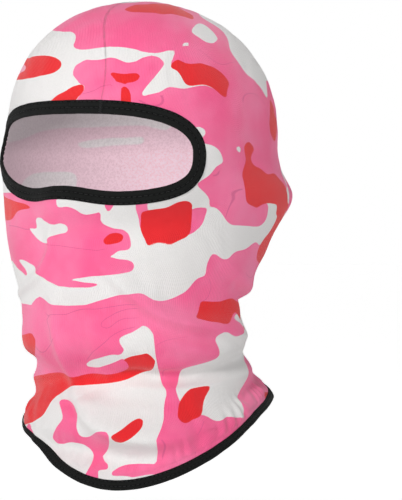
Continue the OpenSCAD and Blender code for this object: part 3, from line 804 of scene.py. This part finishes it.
m_out, nt, b = material("camo_knit_outside")
colour, pink_s, red_s = printed(nt)
knit = knit_height(nt, 0.95)
grain = noise_node(nt, 1500, 2, 0.6)
speck = math_node(nt, "MULTIPLY", math_node(nt, "SUBTRACT", grain, 0.5), 0.16)
# painted shade: the knit's ribs are painted a touch lighter than the hollows between them; the grain's specks are
# random tone
value = math_node(nt, "ADD", math_node(nt, "ADD", 0.985, speck), math_node(nt, "MULTIPLY", knit, 0.018))
hsv = node(nt, "ShaderNodeHueSaturation")
nt.links.new(colour, hsv.inputs["Color"])
nt.links.new(value, hsv.inputs["Value"])
seam_dark = step(nt, attr(nt, "seam"), 0.55, 0.5)
final = mix(nt, math_node(nt, "MULTIPLY", math_node(nt, "SUBTRACT", 1.0, seam_dark), 0.05), hsv.outputs[0], (0.16, 0.06, 0.09))
nt.links.new(final, b.inputs["Base Color"])
rough = math_node(nt, "ADD", 0.72, math_node(nt, "MULTIPLY", grain, 0.16))
nt.links.new(rough, b.inputs["Roughness"])
b.inputs["Sheen Weight"].default_value = 0.3
b.inputs["Sheen Roughness"].default_value = 0.45
b.inputs["Specular IOR Level"].default_value = 0.25
n1 = bump(nt, None, knit, 0.00009, 0.8)
bump(nt, b, grain, 0.00012, 0.6, n1)

m_in, nt, b = material("camo_knit_inside")
fine = noise_node(nt, 700, 3, 0.7)
wob = math_node(nt, "MULTIPLY", math_node(nt, "SUBTRACT", fine, 0.5), 1.2)
pink_i = step(nt, math_node(nt, "ADD", attr(nt, "pink_in"), wob), 0, 0.8)
fuzz = noise_node(nt, 620, 3, 0.75)
fuzz_s = step(nt, fuzz, 0.52, 0.12)
pale = mix(nt, fuzz_s, (0.86, 0.69, 0.75), (0.74, 0.575, 0.63))
grey = mix(nt, fuzz_s, (0.80, 0.84, 0.82), (0.68, 0.72, 0.70))
both = mix(nt, pink_i, grey, pale)
# painted shade: here the inside's colour is darkened towards near black, more at the wearer's right and under the brow
both = mix(nt, attr(nt, "painted_shade_inside"), both, (0.10, 0.08, 0.09))
nt.links.new(both, b.inputs["Base Color"])
nt.links.new(both, b.inputs["Emission Color"])
b.inputs["Emission Strength"].default_value = 0.31      # painted light: the inside glows, standing in for the light that comes into the hood through the opening and the thin knit
b.inputs["Roughness"].default_value = 0.95
b.inputs["Specular IOR Level"].default_value = 0.12
b.inputs["Sheen Weight"].default_value = 0.3
b.inputs["Sheen Roughness"].default_value = 0.6
bump(nt, b, fuzz, 0.00035, 0.9)

m_tape, nt, b = material("black_binding")
al, ac = attr(nt, "along"), attr(nt, "across")
rib = math_node(nt, "SINE", math_node(nt, "MULTIPLY", al, 2 * math.pi / 0.8))
cross = math_node(nt, "SINE", math_node(nt, "MULTIPLY", ac, 2 * math.pi / 0.7))
hgt = math_node(nt, "ADD", rib, math_node(nt, "MULTIPLY", cross, 0.5))
gr = noise_node(nt, 1300, 2, 0.6)
lint = noise_node(nt, 130, 3, 0.6)
tone = math_node(nt, "ADD", math_node(nt, "MULTIPLY", gr, 0.6), math_node(nt, "MULTIPLY", lint, 0.4))
# painted shade: the tape's colour goes near black along its two rows of stitches, as shade in the grooves the needle
# rows press in
groove = None
for row in ROWS_AT:
    g = math_node(nt, "SUBTRACT", 1.0, step(nt, math_node(nt, "ABSOLUTE", math_node(nt, "SUBTRACT", attr(nt, "from_rim"), row)), 0.5, 0.3))
    groove = g if groove is None else math_node(nt, "MAXIMUM", groove, g)
plain = mix(nt, tone, (0.0042, 0.0046, 0.0044), (0.0135, 0.0145, 0.0139))
nt.links.new(mix(nt, math_node(nt, "MULTIPLY", groove, 0.95), plain, (0.0008, 0.0008, 0.0008)), b.inputs["Base Color"])
nt.links.new(math_node(nt, "ADD", 0.62, math_node(nt, "MULTIPLY", lint, 0.25)), b.inputs["Roughness"])
b.inputs["Sheen Weight"].default_value = 0.015
b.inputs["Sheen Roughness"].default_value = 0.5
b.inputs["Specular IOR Level"].default_value = 0.11
n1 = bump(nt, None, hgt, 0.00012, 0.8)
bump(nt, b, gr, 0.0001, 0.5, n1)

m_thread, nt, b = material("black_thread")
tw = noise_node(nt, 2600, 1, 0.5)
nt.links.new(mix(nt, tw, (0.010, 0.010, 0.011), (0.03, 0.031, 0.031)), b.inputs["Base Color"])
nt.links.new(math_node(nt, "ADD", 0.38, math_node(nt, "MULTIPLY", tw, 0.2)), b.inputs["Roughness"])
b.inputs["Specular IOR Level"].default_value = 0.15
bump(nt, b, tw, 0.00008, 0.6)

m_pale, nt, b = material("pale_thread")
tw = noise_node(nt, 2400, 1, 0.5)
nt.links.new(mix(nt, tw, (0.62, 0.60, 0.60), (0.84, 0.83, 0.82)), b.inputs["Base Color"])
nt.links.new(math_node(nt, "ADD", 0.45, math_node(nt, "MULTIPLY", tw, 0.2)), b.inputs["Roughness"])
bump(nt, b, tw, 0.00008, 0.6)

# ---------------------------------------------------------------- the hood's cloth
n = ROWS * COLS
faces = [ring_faces(ROWS, COLS)]
idx = [np.zeros(len(faces[0]), int)]
inner = ring_faces(ROWS, COLS, True) + n
faces.append(inner)
idx.append(np.ones(len(inner), int))
j = np.arange(COLS)
jn = (j + 1) % COLS
faces.append(np.stack([j, jn, n + jn, n + j], -1))
last = (ROWS - 1) * COLS
faces.append(np.stack([last + jn, last + j, n + last + j, n + last + jn], -1))
idx.append(np.zeros(2 * COLS, int))
hood = add("printed_knit_hood", np.concatenate([OUT.reshape(-1, 3), INN.reshape(-1, 3)]), np.concatenate(faces), [m_out, m_in], np.concatenate(idx))
pink, red, line_side, line_true, pale = camo(flatP)
give(hood, "pink", np.tile(pink, 2))
give(hood, "red", np.tile(red, 2))
give(hood, "line_side", np.tile(line_side, 2))
give(hood, "line_true", np.tile(line_true, 2))
give(hood, "pale", np.tile(pale, 2))
give(hood, "seam", np.tile(np.where(under_tape > 0.6, seam_d, 9.0), 2))
# distances along the cloth for the knit: across the wales and along them
step_c = np.linalg.norm(np.diff(OUT, axis=1, append=OUT[:, :1]), axis=2)
wale = np.concatenate([np.zeros((ROWS, 1)), np.cumsum(step_c, 1)[:, :-1]], 1)
wale = wale / np.maximum(step_c.sum(1, keepdims=True), 1e-6) * 430.0
step_r = np.linalg.norm(np.diff(OUT, axis=0), axis=2)
course = np.concatenate([np.zeros((1, COLS)), np.cumsum(step_r, 0)], 0)
give(hood, "wale", np.tile(wale.ravel(), 2))
give(hood, "course", np.tile(course.ravel(), 2))
# what shows through on the inside: the print's pale shadow
far_side = np.clip((2 - flatP @ TO_EYE) / 6, 0, 1) * np.clip((flatP[:, 2] + 150) / 8, 0, 1) * np.clip((-52 - flatP[:, 2]) / 8, 0, 1)
grey = np.where(far_side > 0, np.clip(union(flat_view(flatP), INSIDE_GREY), -9, 9), 0)
give(hood, "pink_in", np.tile(far_side * -grey + (1 - far_side) * pink, 2))
# painted shade: the inside is painted darker at the wearer's right and under the brow, where less light falls in
# through the opening
q = flat_view(flatP)
painted_shade_inside = 0.62 * np.clip((12 - q[:, 0]) / 104, 0, 1) ** 1.5 + 0.42 * np.clip((q[:, 1] + 104) / 24, 0, 1)
give(hood, "painted_shade_inside", np.tile(np.clip(far_side * painted_shade_inside, 0, 0.75), 2))

# ---------------------------------------------------------------- tapes, threads and the seam's inside
eye_tape = fold_tape(0, EYE_W, "eye_opening_tape", m_tape)
hem_tape = fold_tape(1, HEM_W, "hem_tape", m_tape)
eye_needle = stitches(0, 116, EYE_W, "eye_tape_needle_stitches", m_thread)
hem_needle = stitches(1, 190, HEM_W, "hem_tape_needle_stitches", m_thread)
eye_loop = stitches(0, 116, EYE_W, "eye_tape_looper_thread", m_thread, inside=True)
hem_loop = stitches(1, 190, HEM_W, "hem_tape_looper_thread", m_thread, inside=True)


def bartack(kind, share, w, name):
    """A dense bar of zigzag thread over the tape's lapped ends."""
    r, sides = 0.27, 6
    ang = np.arange(sides) * 2 * math.pi / sides
    V, F = [], []
    for i in range(11):
        dd = np.linspace(1.0, w - 1.0, 11)[i]
        s = share + np.linspace(-1.1, 1.1, 7) / WAY[kind][2]
        slant = np.linspace(-0.25, 0.25, 7) * (1 if i % 2 else -1)
        arch = np.sqrt(np.clip(1 - np.linspace(-1, 1, 7) ** 6, 0, 1))
        tt = t_at(kind, s)
        a, z = moved(kind, tt, (dd + slant) * squeeze(kind, tt))
        c = surface(a, z, GAP + TAPE + 0.02 + 0.3 * arch)
        nrm = normal_at(a, z)
        tan = np.gradient(c, axis=0)
        tan /= np.linalg.norm(tan, axis=-1, keepdims=True)
        b_ = np.cross(tan, nrm)
        b_ /= np.linalg.norm(b_, axis=-1, keepdims=True)
        nn = np.cross(b_, tan)
        rr = r * (0.4 + 0.6 * arch)
        pts = c[:, None] + rr[:, None, None] * (np.cos(ang)[None, :, None] * b_[:, None] + np.sin(ang)[None, :, None] * nn[:, None])
        o = sum(len(v) for v in V)
        V.append(pts.reshape(-1, 3))
        for st in range(6):
            for sd in range(sides):
                F.append([o + st * sides + sd, o + st * sides + (sd + 1) % sides, o + (st + 1) * sides + (sd + 1) % sides, o + (st + 1) * sides + sd])
        for st, rev in ((0, True), (6, False)):
            ids = [o + st * sides + x for x in range(sides)]
            for q in ([ids[0], ids[1], ids[2], ids[3]], [ids[0], ids[3], ids[4], ids[5]]):
                F.append(q[::-1] if rev else q)
    return add(name, np.concatenate(V), F, [m_thread])


eye_tack = bartack(0, TOP / RINGS, EYE_W, "eye_tape_bartack")
hem_tack = bartack(1, 0.5, HEM_W, "hem_tape_bartack")

# the seam allowance: two layers turned to the left, with an overlocked edge
S = 150
sa, sz = place_uv(t_at(0, TOP / RINGS), t_at(1, 0.5), np.linspace(0.004, 0.996, S))
sp = surface(sa, sz, np.zeros(S))
sn = normal_at(sa, sz)
stan = np.gradient(sp, axis=0)
stan /= np.linalg.norm(stan, axis=1, keepdims=True)
sside = np.cross(stan, sn)
sside /= np.linalg.norm(sside, axis=1, keepdims=True)
sside *= np.where((sside[:, 0] < 0)[:, None], -1, 1)
wave = 0.18 * np.sin(np.arange(S) * 0.9)[:, None]
sec = np.array([(0.2, 0.9), (1.6, 0.95), (3.6, 1.0), (4.8, 1.05), (5.2, 1.5), (4.9, 2.35), (3.6, 2.5), (1.6, 2.45), (0.4, 2.4), (0.1, 1.6)])
pts = sp[:, None] + sside[:, None] * sec[None, :, :1] - sn[:, None] * (sec[None, :, 1:] + 0.02 + wave[:, :, None] * (sec[None, :, :1] / 5))
c = len(sec)
i, j = np.meshgrid(np.arange(S - 1), np.arange(c), indexing="ij")
f = np.stack([i * c + j, i * c + (j + 1) % c, (i + 1) * c + (j + 1) % c, (i + 1) * c + j], -1).reshape(-1, 4)
caps = []
for base, rev in ((0, True), ((S - 1) * c, False)):
    ids = [base + x for x in range(c)]
    for q in ([0, 1, 8, 9], [1, 2, 7, 8], [2, 3, 6, 7], [3, 4, 5, 6]):
        q = [ids[x] for x in q]
        caps.append(q[::-1] if rev else q)
allow = add("crown_seam_allowance", pts.reshape(-1, 3), np.concatenate([f, np.array(caps)]), [m_in])
give(allow, "pink_in", np.full(S * c, 3.0))
give(allow, "painted_shade_inside", np.zeros(S * c))

# overlock thread: slanting bars over the allowance's edge
V, F = [], []
ang = np.arange(6) * 2 * math.pi / 6
M = 230
for k in range(M):
    x = 0.5 + k * (S - 3) / M
    i0 = int(x); fr = x - i0
    lerp = lambda arr: arr[i0] * (1 - fr) + arr[i0 + 1] * fr
    p0, n0, s0, t0 = lerp(sp), lerp(sn), lerp(sside), lerp(stan)
    path = [(1.2, 2.50), (3.0, 2.62), (4.6, 2.55), (5.35, 2.0), (5.3, 1.4)]
    c0 = np.array([p0 + s0 * d_ - n0 * (h_ + 0.1) + t0 * (0.35 * u_) for u_, (d_, h_) in enumerate(path)])
    tan = np.gradient(c0, axis=0)
    tan /= np.linalg.norm(tan, axis=1, keepdims=True)
    b_ = np.cross(tan, t0); b_ /= np.linalg.norm(b_, axis=1, keepdims=True)
    nn = np.cross(b_, tan)
    rr = np.array([0.12, 0.24, 0.25, 0.24, 0.12])
    pts_ = c0[:, None] + rr[:, None, None] * (np.cos(ang)[None, :, None] * b_[:, None] + np.sin(ang)[None, :, None] * nn[:, None])
    o = k * 30
    V.append(pts_.reshape(-1, 3))
    for st in range(4):
        for sd in range(6):
            F.append([o + st * 6 + sd, o + st * 6 + (sd + 1) % 6, o + (st + 1) * 6 + (sd + 1) % 6, o + (st + 1) * 6 + sd])
    for st, rev in ((0, True), (4, False)):
        ids = [o + st * 6 + x_ for x_ in range(6)]
        for q in ([ids[0], ids[1], ids[2], ids[3]], [ids[0], ids[3], ids[4], ids[5]]):
            F.append(q[::-1] if rev else q)
overlock = add("crown_seam_overlock", np.concatenate(V), F, [m_pale])

# ---------------------------------------------------------------- frame: what rides on what, and what stands for what
for o, slot, nodes in (
    (hood, "camo_knit", ("left_side_panel", "right_side_panel")),
    (allow, "knit_reverse", ("centre_seam_allowance",)),
    (overlock, "pale_thread", ("centre_seam_overlock_thread",)),
    (eye_tape, "black_binding", ("eye_opening_binding",)),
    (eye_needle, "black_thread", ("eye_binding_needle_threads",)),
    (eye_loop, "black_thread", ("eye_binding_looper_thread",)),
    (eye_tack, "black_thread", ("eye_binding_bartack",)),
    (hem_tape, "black_binding", ("hem_binding",)),
    (hem_needle, "black_thread", ("hem_needle_threads",)),
    (hem_loop, "black_thread", ("hem_looper_thread",)),
    (hem_tack, "black_thread", ("hem_binding_bartack",)),
):
    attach(o, "root")
    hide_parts(*nodes)

# ---------------------------------------------------------------- camera
PX = 0.69                       # mm of the hood's middle plane to one pixel of the 402 by 500 picture
cam_data = bpy.data.cameras.new("camera")
cam_data.sensor_width = 36.0
cam_data.lens = 36.0 * (EYE_FAR / PX) / 500.0
cam = bpy.data.objects.new("camera", cam_data)
bpy.context.scene.collection.objects.link(cam)
cam.location = tuple(TO_EYE * EYE_FAR / 1000) [:2] + (EYE_Z0 / 1000,)
pan = math.atan((201 - 142) * PX / EYE_FAR)          # the hood stands left of the picture's middle
cam.rotation_euler = (math.pi / 2, 0, va - pan)
cam_data.clip_start, cam_data.clip_end = 0.05, 50
bpy.context.scene.camera = cam

# ---------------------------------------------------------------- light and surroundings
world = bpy.data.worlds.new("soft_white")
bpy.context.scene.world = world
world.use_nodes = True
world.node_tree.nodes["Background"].inputs[0].default_value = (1, 1, 1, 1)
# a bright band round the horizon, so the background is plain from every side, and a dimmer sky
wt = world.node_tree
sky = wt.nodes.new("ShaderNodeTexCoord")
xyz = wt.nodes.new("ShaderNodeSeparateXYZ")
wt.links.new(sky.outputs["Generated"], xyz.inputs[0])
height = wt.nodes.new("ShaderNodeMapRange")
height.interpolation_type = "SMOOTHSTEP"
for k, v in zip((1, 2, 3, 4), (0.20, 0.36, 1.0, 0.16)):
    height.inputs[k].default_value = v
wt.links.new(xyz.outputs[2], height.inputs[0])
wt.links.new(height.outputs[0], wt.nodes["Background"].inputs[1])


def lamp(name, at, size, power, aim=(0, 0, -0.16)):
    d = bpy.data.lights.new(name, "AREA")
    d.shape = "RECTANGLE"
    d.size, d.size_y = size
    d.energy = power
    o = bpy.data.objects.new(name, d)
    bpy.context.scene.collection.objects.link(o)
    o.location = at
    v = np.array(aim) - np.array(at)
    from mathutils import Vector
    o.rotation_euler = Vector(v).to_track_quat("-Z", "Y").to_euler()
    return o


left = -ACROSS
c25, s25 = math.cos(math.radians(28)), math.sin(math.radians(28))
lamp("key", tuple((TO_EYE * c25 + left * s25) * 2.0 + np.array([0, 0, 0.95])), (0.5, 0.5), 26.5)
lamp("fill", tuple((TO_EYE * 0.8 - left * 1.6) + np.array([0, 0, 0.1])), (1.2, 1.6), 1.4)
lamp("top", (0, 0.2, 1.4), (1.0, 1.0), 3)

m_floor, nt, b = material("pale_floor")
nt.links.new(mix(nt, noise_node(nt, 6, 2), (0.86, 0.86, 0.86), (0.88, 0.88, 0.88)), b.inputs["Base Color"])
b.inputs["Roughness"].default_value = 0.9
b.inputs["Emission Color"].default_value = (1, 1, 1, 1)
# the floor is dimmer close under the hood, so the hem isn't lit from below
tc = node(nt, "ShaderNodeTexCoord")
far = node(nt, "ShaderNodeVectorMath", operation="LENGTH")
nt.links.new(tc.outputs["Object"], far.inputs[0])
glow = node(nt, "ShaderNodeMapRange", interpolation_type="SMOOTHSTEP")
for k, v in zip((1, 2, 3, 4), (0.8, 2.0, 0.08, 0.78)):
    glow.inputs[k].default_value = v
nt.links.new(far.outputs["Value"], glow.inputs[0])
nt.links.new(glow.outputs[0], b.inputs["Emission Strength"])
V = [(x * 1000, y * 1000, -620) for x, y in ((-40, -40), (40, -40), (40, 40), (-40, 40))]
floor = add("floor", V, [[0, 1, 2, 3]], [m_floor])

vs = bpy.context.scene.view_settings
vs.view_transform = "Standard"
vs.look = "None"
